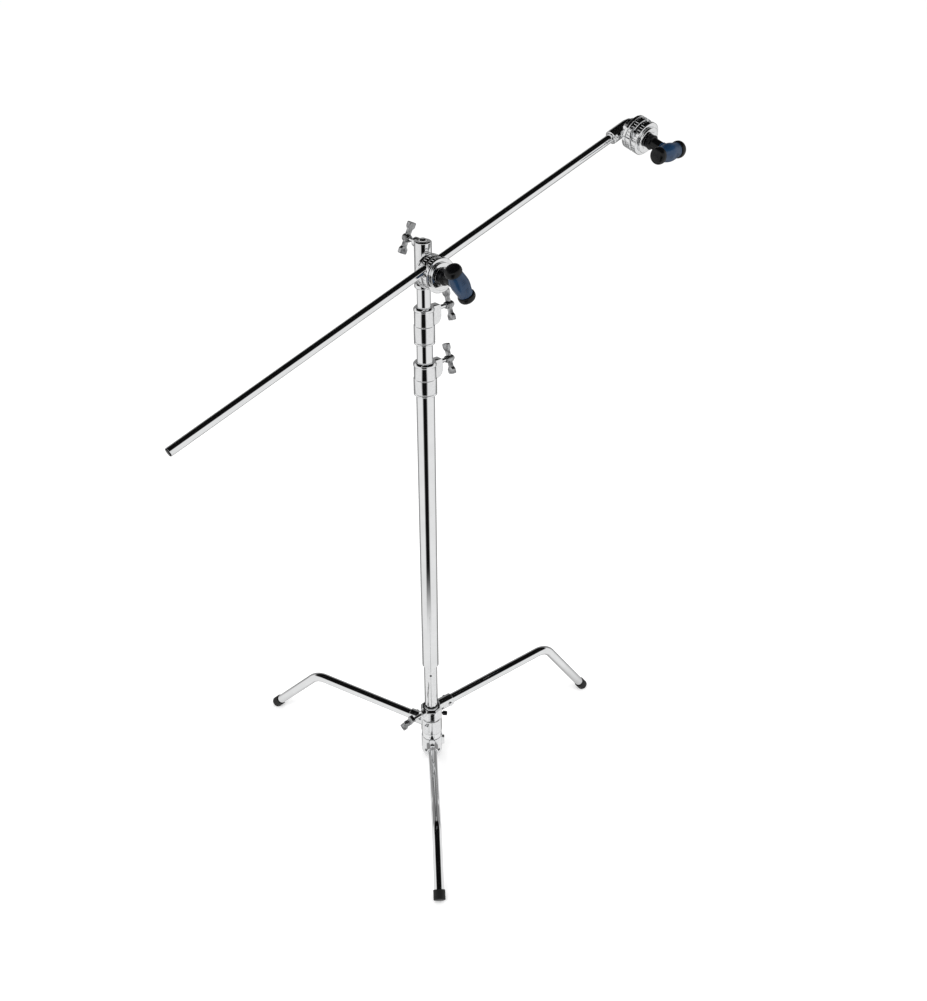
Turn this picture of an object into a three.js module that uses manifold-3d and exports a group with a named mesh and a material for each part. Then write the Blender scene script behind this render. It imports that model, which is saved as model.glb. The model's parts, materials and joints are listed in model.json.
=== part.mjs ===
// Lighting stand on three nesting legs, with a lift-out column of two risers, a grip head on the
// top stud, and an extension arm that carries a second grip head.
// Millimetres, +Z up. The origin is on the floor, under the middle of the stand's box.
import * as THREE from 'three';
import { mergeVertices } from 'three/addons/utils/BufferGeometryUtils.js';
import Module from 'manifold-3d';

const wasm = await Module();
wasm.setup();

// ---------------------------------------------------------------- driving dimensions
const gap = 0.3;                 // between two faces that touch
const slideGap = 0.3;            // round a tube or pin that slides or turns
const fine = 24;                 // sides of a large round
const medium = 16;               // sides of a middling round
const coarse = 12;               // sides of a small round

// Legs: one entry each, azimuth in degrees from the front (-Y) towards +X.
const legRadius = 10;
const legWall = 1.8;
const legBendRadius = 42;
const legRise = 0.12;            // climb of the inner stretch per millimetre outwards
const legInnerEnd = 27;          // where the tube starts, from the hub's axis
const legs = {
  right: { azimuth: 121, reach: 430, bendReach: 311.7, bendHeight: 169 },
  left: { azimuth: -116.5, reach: 412, bendReach: 291, bendHeight: 128 },
  front: { azimuth: 1.25, reach: 422, bendReach: 303, bendHeight: 80 },
};
const footWall = 1.6;
const footDepth = 14;            // how far the rubber foot climbs the tube
const footFloor = 5;             // rubber under the tube's end
const footTrim = 2.5;            // rubber cut away to leave a flat sole
const footAim = 6;               // height that the outer stretch points at

// Hub
const hubTop = 142;
const hubBottom = 12;
const postWall = 2.8;
const crownHeight = 30;
const crownRadius = 25;
const knuckleWall = 5.2;
const leftKnuckle = { low: 74, high: 111 };
const frontKnuckle = { low: 24, high: 60 };
const nutHeight = 11;
const nutRadius = 22;
const sleeveWall = 3;
const sleeveReach = 52;
const legPinRadius = 2.5;
const legPinReach = 42;
const pinHeadRadius = 4.6;
const pinHeadHeight = 3.2;
const setScrewAzimuth = 83;

// Column and risers
const columnRadius = 17.5;
const tubeWall = 1.25;
const columnFoot = 258;          // shoulder of the column, drawn up out of the socket
const columnLength = 680;
const columnTop = columnFoot + columnLength;
const spigotRadius = 14.3;
const spigotLength = 132;
const spigotPlug = 28;
const bushLength = 55;
const bushGap = 0.25;
const bushSpace = 1.25;          // between one tube's bore and the next tube
const riser1 = {
  radius: columnRadius - tubeWall - bushSpace, low: columnTop - 608, high: columnTop + 106,
};
const riser2 = {
  radius: riser1.radius - tubeWall - bushSpace, low: riser1.high - 644, high: riser1.high + 68,
};
const collarWall = 4.5;
const lowerCollar = {
  low: columnTop - 39, high: columnTop + 28, radius: columnRadius + collarWall, grip: 40,
};
const upperCollar = {
  low: riser1.high - 43, high: riser1.high + 29, radius: riser1.radius + collarWall, grip: 44,
};
const collarScrewDrop = 11;      // screw axis below the collar's top
const collarScrewAngle = 38;     // degrees from +X towards +Y
const topCap = { low: riser2.high - 4, high: riser2.high + 6, radius: riser2.radius + 4.1 };
const studRadius = 7.9;
const studTop = riser2.high + 86;

// Clamp screws with cast wings
const screwRadius = 4;
const wingSpan = 58;
const wingHubRadius = 7;
const wingHubLength = 20;
const paddle = { thick: 8, wide: 15, tall: 13 };
const wingReach = 58;            // wing's middle from the column's axis, on the collars
const baseWingReach = 68;
const baseScrewHeight = 132;
const baseScrewAngle = -139;     // degrees from +X towards +Y
const padThickness = 2;

// Grip heads: distances are along the disc axis, from the axis of the stud or arm that holds it
const discHeight = studTop - 53.8;
const discAngle = -53.4;         // degrees from +X towards +Y
const receiverHeight = studTop - 11;
const receiverBottom = -10;      // below the disc axis
const receiverWingReach = 47;
const discRadius = 31.75;
const receiverRadius = 16;       // block round the stud
const bodyFace = 24.2;           // disc face of the head's body
const bodyBack = 5;              // back of the neck that carries the disc
const neckFlare = 4;             // by which the neck is wider than the block
const discRim = 7;               // thickness of the disc itself
const jawThickness = 12.5;
const jawSplit = 2;              // space between the two jaw plates
const boltRadius = 5;
const boltHead = { radius: 9, thick: 3 };
const pressureDisc = { thick: 5, radius: 25 };
const bearing = { thick: 6, radius: 13 };
const spacer = { length: 22, radius: 10.5, flange: 14, flangeThick: 2.5 };
const knobReach = 104;           // from the stud's axis to the middle of the T bar
const knobBar = { length: 78, radius: 16, waist: 14, end: 15 };
const knobNeckRadius = 11.5;
const mainKnobTurn = 30;         // degrees that each T bar is turned on its bolt
const farKnobTurn = -20;

// Arm
const armRadius = 7.95;
const armWall = 1.6;
const armOffset = 20;            // arm's axis to the disc axis, across the jaws
const armTilt = 20.1;            // degrees above level
const armLow = 560;              // length on the low side of the jaws
const armHigh = 458;             // length on the high side, up to the far head
const armInHead = 22;
const armCapLength = 14;
const farHeadRoll = 18;          // degrees that the far head is turned on the arm
const farJawTurn = 8;
const farDiscReach = 29;         // arm's visible end to the far disc axis

// ---------------------------------------------------------------- derived sizes
const rad = THREE.MathUtils.degToRad;
const socketRadius = spigotRadius + slideGap;
const postRadius = socketRadius + postWall;
const sleeveRadius = legRadius + gap + sleeveWall;
const jawInner = bodyFace + gap;
const jawOuter = jawInner + jawThickness + jawSplit;
const armAxis = jawInner + jawThickness + jawSplit / 2;
const pressureStart = jawOuter + jawThickness + gap;
const bearingStart = pressureStart + pressureDisc.thick + gap;
const spacerStart = bearingStart + bearing.thick + gap;
const knobStart = spacerStart + spacer.length + gap;

// ---------------------------------------------------------------- finishes
const finish = (color, roughness, metalness) =>
  new THREE.MeshStandardMaterial({ color, roughness, metalness });
const chrome = finish(0xd9dcdf, 0.08, 1);
const castChrome = finish(0xc4c7ca, 0.18, 1);
const darkSteel = finish(0x2a2c2e, 0.35, 0.9);
const blackPlastic = finish(0x101113, 0.35, 0);
const rubber = finish(0x161616, 0.7, 0);
const blueGrip = finish(0x24456b, 0.35, 0);
const brass = finish(0xb08d4a, 0.3, 1);
const nylon = finish(0xdedcd2, 0.5, 0);

// ---------------------------------------------------------------- solids
// One closed shell: shared corners merged, slivers dropped, faces outward.
function closed(geometry) {
  const bare = geometry.index ? geometry.toNonIndexed() : geometry.clone();
  for (const name of Object.keys(bare.attributes)) {
    if (name !== 'position') bare.deleteAttribute(name);
  }
  const merged = mergeVertices(bare, 1e-4);
  const corners = merged.index.array;
  const points = merged.attributes.position;
  const kept = [];
  let volume = 0;
  const [a, b, c] = [new THREE.Vector3(), new THREE.Vector3(), new THREE.Vector3()];
  for (let i = 0; i < corners.length; i += 3) {
    const [p, q, r] = [corners[i], corners[i + 1], corners[i + 2]];
    if (p === q || q === r || r === p) continue;
    kept.push(p, q, r);
    a.fromBufferAttribute(points, p);
    b.fromBufferAttribute(points, q);
    c.fromBufferAttribute(points, r);
    volume += a.dot(b.cross(c));
  }
  if (volume < 0) kept.reverse();
  merged.setIndex(kept);
  return merged;
}

function solid(geometry) {
  const shell = closed(geometry);
  const vertProperties = new Float32Array(shell.attributes.position.array);
  const triVerts = new Uint32Array(shell.index.array);
  return new wasm.Manifold(new wasm.Mesh({ numProp: 3, vertProperties, triVerts }));
}

function geometryOf(manifold) {
  const mesh = manifold.getMesh();
  const geometry = new THREE.BufferGeometry();
  geometry.setAttribute('position', new THREE.BufferAttribute(mesh.vertProperties, 3));
  geometry.setIndex(new THREE.BufferAttribute(mesh.triVerts, 1));
  return geometry;
}

// Joins the first list and cuts away the second.
function shape(joined, cuts = []) {
  let whole = solid(joined[0]);
  for (const piece of joined.slice(1)) whole = whole.add(solid(piece));
  for (const piece of cuts) whole = whole.subtract(solid(piece));
  return geometryOf(whole);
}

// Turned solid about +Z from [radius, height] pairs; the outline closes on itself or on the axis.
function turned(outline, sides = fine) {
  const points = outline.map(([radius, height]) => new THREE.Vector2(radius, height));
  if (outline[0][0] > 0 || outline.at(-1)[0] > 0) points.push(points[0].clone());
  return new THREE.LatheGeometry(points, sides).rotateX(Math.PI / 2);
}

const rod = (radius, low, high, sides = fine, bevel = 0) => turned([
  [0, low],
  [radius - bevel, low],
  ...(bevel ? [[radius, low + bevel], [radius, high - bevel]] : []),
  [radius - bevel, high],
  [0, high],
], sides);

const tube = (outer, inner, low, high, sides = fine) =>
  turned([[inner, low], [outer, low], [outer, high], [inner, high]], sides);

const block = (x, y, z, cx = 0, cy = 0, cz = 0) => new THREE.BoxGeometry(x, y, z).translate(cx, cy, cz);

// Lays a +Z solid along +X, with its start at the origin.
const alongX = (geometry) => geometry.rotateY(Math.PI / 2);
const alongY = (geometry) => geometry.rotateX(-Math.PI / 2);

function add(group, name, geometry, material) {
  const mesh = new THREE.Mesh(closed(geometry), material);
  mesh.name = name;
  group.add(mesh);
  return mesh;
}

function placed(parent, { at = [0, 0, 0], turn = [0, 0, 0] } = {}) {
  const group = new THREE.Group();
  group.position.set(...at);
  group.rotation.set(...turn.map(rad));
  parent.add(group);
  return group;
}

// ---------------------------------------------------------------- legs
// Straight, one arc, straight: the arc takes all the inner stations.
class LegPath extends THREE.Curve {
  constructor(start, corner, end, radius, stations) {
    super();
    this.bendSteps = stations - 2;
    this.stations = stations;
    this.start = start;
    this.end = end;
    this.along = corner.clone().sub(start).normalize();
    this.down = end.clone().sub(corner).normalize();
    this.angle = this.along.angleTo(this.down);
    const setback = radius * Math.tan(this.angle / 2);
    this.bendStart = corner.clone().addScaledVector(this.along, -setback);
    this.radius = radius;
    this.inward = this.down.clone().addScaledVector(this.along, -Math.cos(this.angle)).normalize();
  }

  turnAt(t) {
    return THREE.MathUtils.clamp((t * this.stations - 1) / this.bendSteps, 0, 1) * this.angle;
  }

  getPoint(t) {
    const step = t * this.stations;
    if (step < 1) return this.start.clone().lerp(this.bendStart, step);
    const turn = this.turnAt(t);
    const point = this.bendStart.clone()
      .addScaledVector(this.along, this.radius * Math.sin(turn))
      .addScaledVector(this.inward, this.radius * (1 - Math.cos(turn)));
    const past = step - 1 - this.bendSteps;
    return past > 0 ? point.lerp(this.end, past) : point;
  }

  getTangent(t) {
    const turn = this.turnAt(t);
    return this.along.clone().multiplyScalar(Math.cos(turn)).addScaledVector(this.inward, Math.sin(turn));
  }

  getUtoTmapping(u) {
    return u;
  }
}

function swept(path, radius, sides) {
  const section = new THREE.Shape();
  for (let i = 0; i < sides; i += 1) {
    const angle = (i * 2 * Math.PI) / sides;
    section[i ? 'lineTo' : 'moveTo'](radius * Math.cos(angle), radius * Math.sin(angle));
  }
  return new THREE.ExtrudeGeometry(section, { steps: path.stations, extrudePath: path });
}

// Everything about one leg's line, in its own vertical plane (x outwards, z up).
function legLine({ reach, bendReach, bendHeight }) {
  const heightAt = (x) => bendHeight - legRise * (bendReach - x);
  const corner = new THREE.Vector3(bendReach, 0, bendHeight);
  const fall = Math.atan2(bendHeight - footAim, reach - bendReach);
  const footRadius = legRadius + slideGap + footWall;
  const soleHeight = footRadius * Math.cos(fall) - footTrim;
  const down = new THREE.Vector3(Math.cos(fall), 0, -Math.sin(fall));
  const sole = corner.clone().addScaledVector(down, (bendHeight - soleHeight) / Math.sin(fall));
  const end = sole.clone().addScaledVector(down, -(footFloor + gap));
  const start = new THREE.Vector3(legInnerEnd, 0, heightAt(legInnerEnd));
  return { heightAt, corner, fall, footRadius, down, sole, end, start, slope: Math.atan(legRise) };
}

function legTube(line) {
  const stations = 8;
  const outer = new LegPath(line.start, line.corner, line.end, legBendRadius, stations);
  const early = line.start.clone().addScaledVector(outer.along, -5);
  const late = line.end.clone().addScaledVector(line.down, 5);
  const inner = new LegPath(early, line.corner, late, legBendRadius, stations);
  return shape([swept(outer, legRadius, 14)], [swept(inner, legRadius - legWall, 8)]);
}

function footCap(line) {
  const cup = turned([
    [0, 0],
    [line.footRadius - 1, 0],
    [line.footRadius, 1],
    [line.footRadius, footFloor + footDepth],
    [legRadius + slideGap, footFloor + footDepth],
    [legRadius + slideGap, footFloor],
    [0, footFloor],
  ]);
  cup.rotateY(-Math.PI / 2 + line.fall).translate(line.sole.x, 0, line.sole.z);
  return shape([cup], [block(200, 200, 40, line.sole.x, 0, -20)]);
}

// A rod that follows the leg's inner stretch, from x to x.
function onLegLine(line, geometry, from) {
  return geometry.rotateY(Math.PI / 2 - line.slope).translate(from, 0, line.heightAt(from));
}

function legSleeve(line, from) {
  const length = (sleeveReach - from) / Math.cos(line.slope);
  return onLegLine(line, rod(sleeveRadius, 0, length, medium, 1), from);
}

function legBore(line) {
  const from = legInnerEnd - gap * 2;
  return onLegLine(line, rod(legRadius + gap, 0, sleeveReach), from);
}

const legPinHole = (line) =>
  rod(legPinRadius + slideGap, -40, 40, coarse).rotateX(Math.PI / 2)
    .translate(legPinReach, 0, line.heightAt(legPinReach));

function legPin(line) {
  const half = sleeveRadius + gap;
  const pin = turned([
    [0, -half - pinHeadHeight],
    [pinHeadRadius - 0.8, -half - pinHeadHeight],
    [pinHeadRadius, -half - pinHeadHeight + 0.8],
    [pinHeadRadius, -half],
    [legPinRadius, -half],
    [legPinRadius, half],
    [pinHeadRadius, half],
    [pinHeadRadius, half + pinHeadHeight - 0.8],
    [pinHeadRadius - 0.8, half + pinHeadHeight],
    [0, half + pinHeadHeight],
  ], coarse);
  return pin.rotateX(Math.PI / 2).translate(legPinReach, 0, line.heightAt(legPinReach));
}

function addLeg(parent, side) {
  const line = legLine(legs[side]);
  const group = placed(parent, { turn: [0, 0, legs[side].azimuth - 90] });
  add(group, `${side}_leg_tube`, shape([legTube(line)], [legPinHole(line)]), chrome);
  add(group, `${side}_foot_cap`, footCap(line), rubber);
  add(group, `${side}_leg_pin`, legPin(line), castChrome);
  return { line, group };
}

function addKnuckle(side, { low, high }, { line, group }) {
  const outer = postRadius + slideGap + knuckleWall;
  const ring = turned([
    [0, low],
    [outer - 1.5, low],
    [outer, low + 1.5],
    [outer, high - 1.5],
    [outer - 1.5, high],
    [0, high],
  ]);
  const ear = block(9, 12, (high - low) * 0.55, 0, outer - 1, (low + high) / 2);
  const geometry = shape(
    [ring, legSleeve(line, 10), ear],
    [rod(postRadius + slideGap, 0, hubTop + 10), legBore(line), legPinHole(line)],
  );
  add(group, `${side}_leg_knuckle`, geometry, castChrome);
}

// ---------------------------------------------------------------- hub
function addHub(parent) {
  const crownLow = hubTop - crownHeight;
  const line = legLine(legs.right);
  const turn = rad(legs.right.azimuth - 90);
  const crown = turned([
    [0, crownLow],
    [crownRadius - 2.5, crownLow],
    [crownRadius, crownLow + 3],
    [crownRadius, hubTop - 5],
    [crownRadius - 5, hubTop],
    [0, hubTop],
  ], 8).rotateZ(Math.PI / 8);
  const screwBoss = alongX(rod(8.5, 0, crownRadius + 5, coarse, 1))
    .rotateZ(rad(baseScrewAngle)).translate(0, 0, baseScrewHeight);
  const screwHole = alongX(rod(screwRadius + slideGap, 0, 60, coarse))
    .rotateZ(rad(baseScrewAngle)).translate(0, 0, baseScrewHeight);
  const columnSeat = rod(columnRadius + 1, hubTop, hubTop + 30);
  const setHole = alongX(rod(2.5 + slideGap, 18.6, 60, 12))
    .rotateZ(rad(setScrewAzimuth - 90)).translate(0, 0, crownLow + 10);
  const geometry = shape(
    [crown, rod(postRadius, hubBottom, hubTop - 5), screwBoss, legSleeve(line, 10).rotateZ(turn)],
    [
      rod(socketRadius, 0, hubTop + 10),
      legBore(line).rotateZ(turn),
      legPinHole(line).rotateZ(turn),
      columnSeat,
      screwHole,
      setHole,
    ],
  );
  add(parent, 'hub_casting', geometry, castChrome);
  const inner = postRadius + slideGap;
  const spacerLow = frontKnuckle.high + gap;
  add(parent, 'knuckle_spacer', tube(postRadius + 4.5, inner, spacerLow, leftKnuckle.low - gap), chrome);
  const nutHigh = frontKnuckle.low - gap;
  const nut = turned([
    [inner, nutHigh - nutHeight],
    [nutRadius - 1.5, nutHigh - nutHeight],
    [nutRadius, nutHigh - nutHeight + 1.5],
    [nutRadius, nutHigh],
    [inner, nutHigh],
  ]);
  add(parent, 'hub_retaining_nut', nut, castChrome);
  const setScrew = turned([
    [0, 19],
    [2.5, 19],
    [2.5, crownRadius + gap],
    [5, crownRadius + gap],
    [5, crownRadius + 9],
    [4, crownRadius + 10],
    [0, crownRadius + 10],
  ], 12);
  const setGroup = placed(parent, {
    at: [0, 0, crownLow + 10],
    turn: [0, 0, setScrewAzimuth - 90],
  });
  add(setGroup, 'hub_set_screw', alongX(setScrew), darkSteel);
}

// ---------------------------------------------------------------- clamp screws
// Local +X points outwards along the screw; the tip is at x = tip and the wing's middle at reach.
function addClampScrew(parent, name, tip, reach, wingTurn) {
  const hubStart = reach - wingHubLength / 2;
  const boreEnd = reach + 4;
  const screw = turned([
    [0, tip],
    [screwRadius - 1, tip],
    [screwRadius, tip + 1],
    [screwRadius, boreEnd],
    [0, boreEnd],
  ], coarse);
  add(parent, `${name}_screw`, alongX(screw), chrome);
  const wingHub = turned([
    [0, hubStart],
    [wingHubRadius - 1.5, hubStart],
    [wingHubRadius, hubStart + 3],
    [wingHubRadius, hubStart + wingHubLength - 4],
    [wingHubRadius - 3, hubStart + wingHubLength],
    [0, hubStart + wingHubLength],
  ], coarse);
  const arms = block(6, 9, wingSpan - 2 * paddle.tall + 4, reach, 0, 0);
  const paddles = [1, -1].map((side) => {
    const outline = new THREE.Shape();
    const half = paddle.wide / 2;
    const inner = wingSpan / 2 - paddle.tall;
    outline.moveTo(-half + 3, inner);
    outline.lineTo(half - 3, inner);
    outline.lineTo(half, inner + 4);
    outline.lineTo(half, wingSpan / 2 - 1.5);
    outline.lineTo(half - 1.5, wingSpan / 2);
    outline.lineTo(-half + 1.5, wingSpan / 2);
    outline.lineTo(-half, wingSpan / 2 - 1.5);
    outline.lineTo(-half, inner + 4);
    const plate = new THREE.ExtrudeGeometry(outline, { depth: paddle.thick, bevelEnabled: false });
    plate.rotateX(Math.PI / 2).rotateZ(Math.PI / 2);
    return plate.translate(reach - paddle.thick / 2, 0, 0).rotateX(side > 0 ? 0 : Math.PI);
  });
  const bore = alongX(rod(screwRadius + gap, 0, boreEnd + gap, coarse));
  const wing = shape([alongX(wingHub), arms, ...paddles], [bore]).rotateX(rad(wingTurn));
  add(parent, `${name}_wing`, wing, castChrome);
}

// ---------------------------------------------------------------- column
function spigotShape() {
  const low = columnFoot - spigotLength;
  const top = columnFoot + spigotPlug;
  const plug = columnRadius - tubeWall - gap;
  const body = turned([
    [0, low],
    [spigotRadius - 3, low],
    [spigotRadius, low + 3],
    [spigotRadius, columnFoot - gap],
    [plug, columnFoot + gap],
    [plug, top],
    [0, top],
  ]);
  return shape([body], [spigotPinHole()]);
}

const spigotPinHole = () =>
  rod(2.2 + slideGap, -30, 30, 12).rotateX(Math.PI / 2).translate(0, 0, columnFoot - 22);

// Collar that clamps the tube below it and guides the tube above it.
function collar({ low, high, radius, grip }, below, above, lugAngle) {
  const step = low + grip;
  const screwAt = high - collarScrewDrop;
  const body = turned([
    [0, low],
    [radius - 0.6, low],
    [radius, low + 1],
    [radius, low + 4],
    [radius - 0.9, low + 5],
    [radius - 0.9, high - 5],
    [radius, high - 4],
    [radius, high - 1.2],
    [radius - 1.2, high],
    [0, high],
  ]);
  const lug = new THREE.Shape();
  const inner = radius - 4;
  const nose = radius + 15;
  lug.moveTo(inner, screwAt + 9);
  lug.lineTo(nose - 5, screwAt + 9);
  lug.absarc(nose - 5, screwAt + 4, 5, Math.PI / 2, 0, true);
  lug.lineTo(nose, screwAt - 10);
  lug.absarc(nose - 14, screwAt - 14, 14, 0, -Math.PI / 2, true);
  lug.lineTo(inner, screwAt - 28);
  const rib = new THREE.ExtrudeGeometry(lug, { depth: 15, bevelEnabled: false, curveSegments: 6 });
  rib.rotateX(Math.PI / 2).translate(0, 7.5, 0).rotateZ(rad(lugAngle));
  const screwHole = alongX(rod(screwRadius + slideGap, 0, 80, coarse))
    .rotateZ(rad(lugAngle)).translate(0, 0, screwAt);
  return shape([body, rib], [
    rod(below + slideGap, low - 10, step + gap),
    rod(above + slideGap, step - 10, high + 10),
    screwHole,
  ]);
}

function addCollar(parent, name, size, below, above) {
  const screwAt = size.high - collarScrewDrop;
  add(parent, `${name}_collar`, collar(size, below, above, collarScrewAngle), castChrome);
  const side = placed(parent, { at: [0, 0, screwAt], turn: [0, 0, collarScrewAngle] });
  const padFace = above + gap;
  const pad = alongX(rod(screwRadius - 0.3, padFace, padFace + padThickness, coarse));
  add(side, `${name}_pad`, pad, brass);
  addClampScrew(side, `${name}_clamp`, padFace + padThickness + gap, wingReach, -20);
}

function addColumn(parent) {
  const inner = columnRadius - tubeWall;
  add(parent, 'column_tube', tube(columnRadius, inner, columnFoot, columnTop), chrome);
  add(parent, 'column_spigot', spigotShape(), castChrome);
  const pin = rod(2.2, -spigotRadius + 0.2, spigotRadius - 0.2, 12)
    .rotateX(Math.PI / 2).translate(0, 0, columnFoot - 22);
  add(parent, 'spigot_roll_pin', pin, darkSteel);
  addCollar(parent, 'lower', lowerCollar, columnRadius, riser1.radius);

  const bore1 = riser1.radius - tubeWall;
  const bore2 = riser2.radius - tubeWall;
  add(parent, 'riser_1_tube', tube(riser1.radius, bore1, riser1.low, riser1.high), chrome);
  add(parent, 'riser_1_bush', tube(inner - bushGap, riser1.radius + bushGap, riser1.low,
    riser1.low + bushLength), nylon);
  addCollar(parent, 'upper', upperCollar, riser1.radius, riser2.radius);

  add(parent, 'riser_2_tube', tube(riser2.radius, bore2, riser2.low, riser2.high), chrome);
  add(parent, 'riser_2_bush', tube(bore1 - bushGap, riser2.radius + bushGap, riser2.low,
    riser2.low + bushLength), nylon);
  const plugRadius = bore2 - gap;
  const skirt = riser2.radius + slideGap;
  const cap = shape([turned([
    [0, topCap.low],
    [topCap.radius - 1, topCap.low],
    [topCap.radius, topCap.low + 1],
    [topCap.radius, topCap.high - 3],
    [topCap.radius - 3, topCap.high],
    [0, topCap.high],
  ])], [
    rod(skirt, topCap.low - 5, riser2.high + gap),
    rod(studRadius + gap, topCap.low - 5, topCap.high + 5, coarse),
  ]);
  add(parent, 'riser_2_cap', cap, blackPlastic);
  const plugTop = riser2.high - 1;
  const stud = turned([
    [0, riser2.high - 45],
    [plugRadius, riser2.high - 45],
    [plugRadius, plugTop],
    [studRadius, plugTop],
    [studRadius, studTop - 46],
    [studRadius - 1.6, studTop - 44],
    [studRadius - 1.6, studTop - 32],
    [studRadius, studTop - 30],
    [studRadius, studTop - 3],
    [studRadius - 3, studTop],
    [0, studTop],
  ], medium);
  add(parent, 'top_stud', stud, chrome);
}

// ---------------------------------------------------------------- grip heads
// Local frame: +X is the disc axis towards the knob, the stud or arm that holds the head runs
// along Z, and the disc axis is at z = 0.
function addJaws(parent, prefix) {
  const grooves = [
    { radius: armRadius, offset: armOffset, turn: 0 },
    { radius: 6.4, offset: -armOffset, turn: 0 },
    { radius: 4.8, offset: armOffset, turn: 90 },
    { radius: 3.2, offset: -armOffset, turn: 90 },
  ].map(({ radius, offset, turn }) =>
    alongY(rod(radius + slideGap, -50, 50, 16)).translate(armAxis, 0, offset).rotateX(rad(turn)));
  const bore = alongX(rod(boltRadius + slideGap, 0, 80, coarse));
  const plate = (from) => turned([
    [0, from],
    [discRadius - 1.2, from],
    [discRadius, from + 1.2],
    [discRadius, from + jawThickness - 1.2],
    [discRadius - 1.2, from + jawThickness],
    [0, from + jawThickness],
  ]);
  add(parent, `${prefix}_inner_jaw`, shape([alongX(plate(jawInner))], [...grooves, bore]), castChrome);
  add(parent, `${prefix}_outer_jaw`, shape([alongX(plate(jawOuter))], [...grooves, bore]), castChrome);
}

function addBoltStack(parent, prefix) {
  const ring = ({ radius }, from, thick) => alongX(turned([
    [boltRadius + slideGap, from],
    [radius - 0.8, from],
    [radius, from + 0.8],
    [radius, from + thick - 0.8],
    [radius - 0.8, from + thick],
    [boltRadius + slideGap, from + thick],
  ], medium));
  add(parent, `${prefix}_pressure_disc`, ring(pressureDisc, pressureStart, pressureDisc.thick), castChrome);
  add(parent, `${prefix}_thrust_bearing`, ring(bearing, bearingStart, bearing.thick), darkSteel);
  const flangeEnd = spacerStart + spacer.flangeThick;
  const sleeve = turned([
    [boltRadius + slideGap, spacerStart],
    [spacer.flange, spacerStart],
    [spacer.flange, flangeEnd],
    [spacer.radius, flangeEnd],
    [spacer.radius, spacerStart + spacer.length],
    [boltRadius + slideGap, spacerStart + spacer.length],
  ], medium);
  add(parent, `${prefix}_spacer`, alongX(sleeve), blackPlastic);
  const boltEnd = knobReach + 4;
  const bolt = turned([
    [0, bodyFace - boltHead.thick],
    [boltHead.radius, bodyFace - boltHead.thick],
    [boltHead.radius, bodyFace],
    [boltRadius, bodyFace],
    [boltRadius, boltEnd],
    [0, boltEnd],
  ], coarse);
  return alongX(bolt);
}

// T-shaped knob: neck on the bolt, bar across it, with a cap on each end of the bar.
function addKnob(parent, prefix, barTurn) {
  const half = knobBar.length / 2 - knobBar.end;
  const profile = [
    [0, -half],
    [knobBar.waist, -half],
    [knobBar.waist + 0.8, -half * 0.55],
    [knobBar.radius, 0],
    [knobBar.waist + 0.8, half * 0.55],
    [knobBar.waist, half],
    [0, half],
  ];
  const bar = turned(profile, medium).translate(knobReach, 0, 0);
  const neck = alongX(turned([
    [0, knobStart],
    [knobNeckRadius, knobStart],
    [knobNeckRadius + 1.5, knobReach],
    [0, knobReach],
  ], coarse));
  const bore = alongX(rod(boltRadius + gap, 0, knobReach + 4 + gap, coarse));
  const group = placed(parent, { turn: [barTurn, 0, 0] });
  add(group, `${prefix}_knob_grip`, shape([bar, neck], [bore]), blueGrip);
  for (const [label, side] of [['upper', 1], ['lower', -1]]) {
    const dome = turned([
      [0, half + gap],
      [knobBar.waist + 0.6, half + gap],
      [knobBar.radius, half + 3],
      [knobBar.radius, half + knobBar.end - 6],
      [knobBar.radius - 3, half + knobBar.end - 1.5],
      [knobBar.radius - 7, half + knobBar.end],
      [0, half + knobBar.end],
    ], medium);
    if (side < 0) dome.rotateX(Math.PI);
    add(group, `${prefix}_knob_${label}_end`, dome.translate(knobReach, 0, 0), blackPlastic);
  }
}

// Pocket in the head's body for the bolt's head, open towards the jaws.
const boltPocket = () =>
  alongX(rod(boltHead.radius + gap, bodyFace - boltHead.thick - gap, bodyFace + 5, coarse));

function headDisc() {
  return alongX(turned([
    [0, bodyBack],
    [receiverRadius + neckFlare, bodyBack],
    [receiverRadius + 2 * neckFlare, bodyFace - discRim],
    [discRadius - 1, bodyFace - discRim],
    [discRadius, bodyFace - discRim + 1],
    [discRadius, bodyFace - 1],
    [discRadius - 1, bodyFace],
    [0, bodyFace],
  ]));
}

function addMainHead(parent) {
  const head = placed(parent, { at: [0, 0, discHeight], turn: [0, 0, discAngle] });
  const top = studTop - 4 - discHeight;
  const screwAt = receiverHeight - discHeight;
  const bottom = receiverBottom;
  const receiver = turned([
    [0, bottom],
    [receiverRadius - 1, bottom],
    [receiverRadius, bottom + 1],
    [receiverRadius, top - 2],
    [receiverRadius - 2, top],
    [0, top],
  ], medium);
  const boss = alongX(rod(9, -receiverRadius - 7, 0, coarse, 1)).translate(0, 0, screwAt - 0.5);
  const body = shape([headDisc(), receiver, boss], [
    rod(studRadius + slideGap, -discRadius, top + 5, 24),
    alongX(rod(screwRadius + slideGap, -60, 0, coarse)).translate(0, 0, screwAt),
    boltPocket(),
  ]);
  add(head, 'head_body', body, castChrome);
  const back = placed(head, { at: [0, 0, screwAt], turn: [0, 0, 180] });
  addClampScrew(back, 'receiver', studRadius + gap, receiverWingReach, 25);
  addKnob(head, 'head', mainKnobTurn);
  const jaws = placed(head, { turn: [armTilt, 0, 0] });
  add(head, 'head_bolt', addBoltStack(head, 'head'), chrome);
  addJaws(jaws, 'head');
  return jaws;
}

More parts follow.
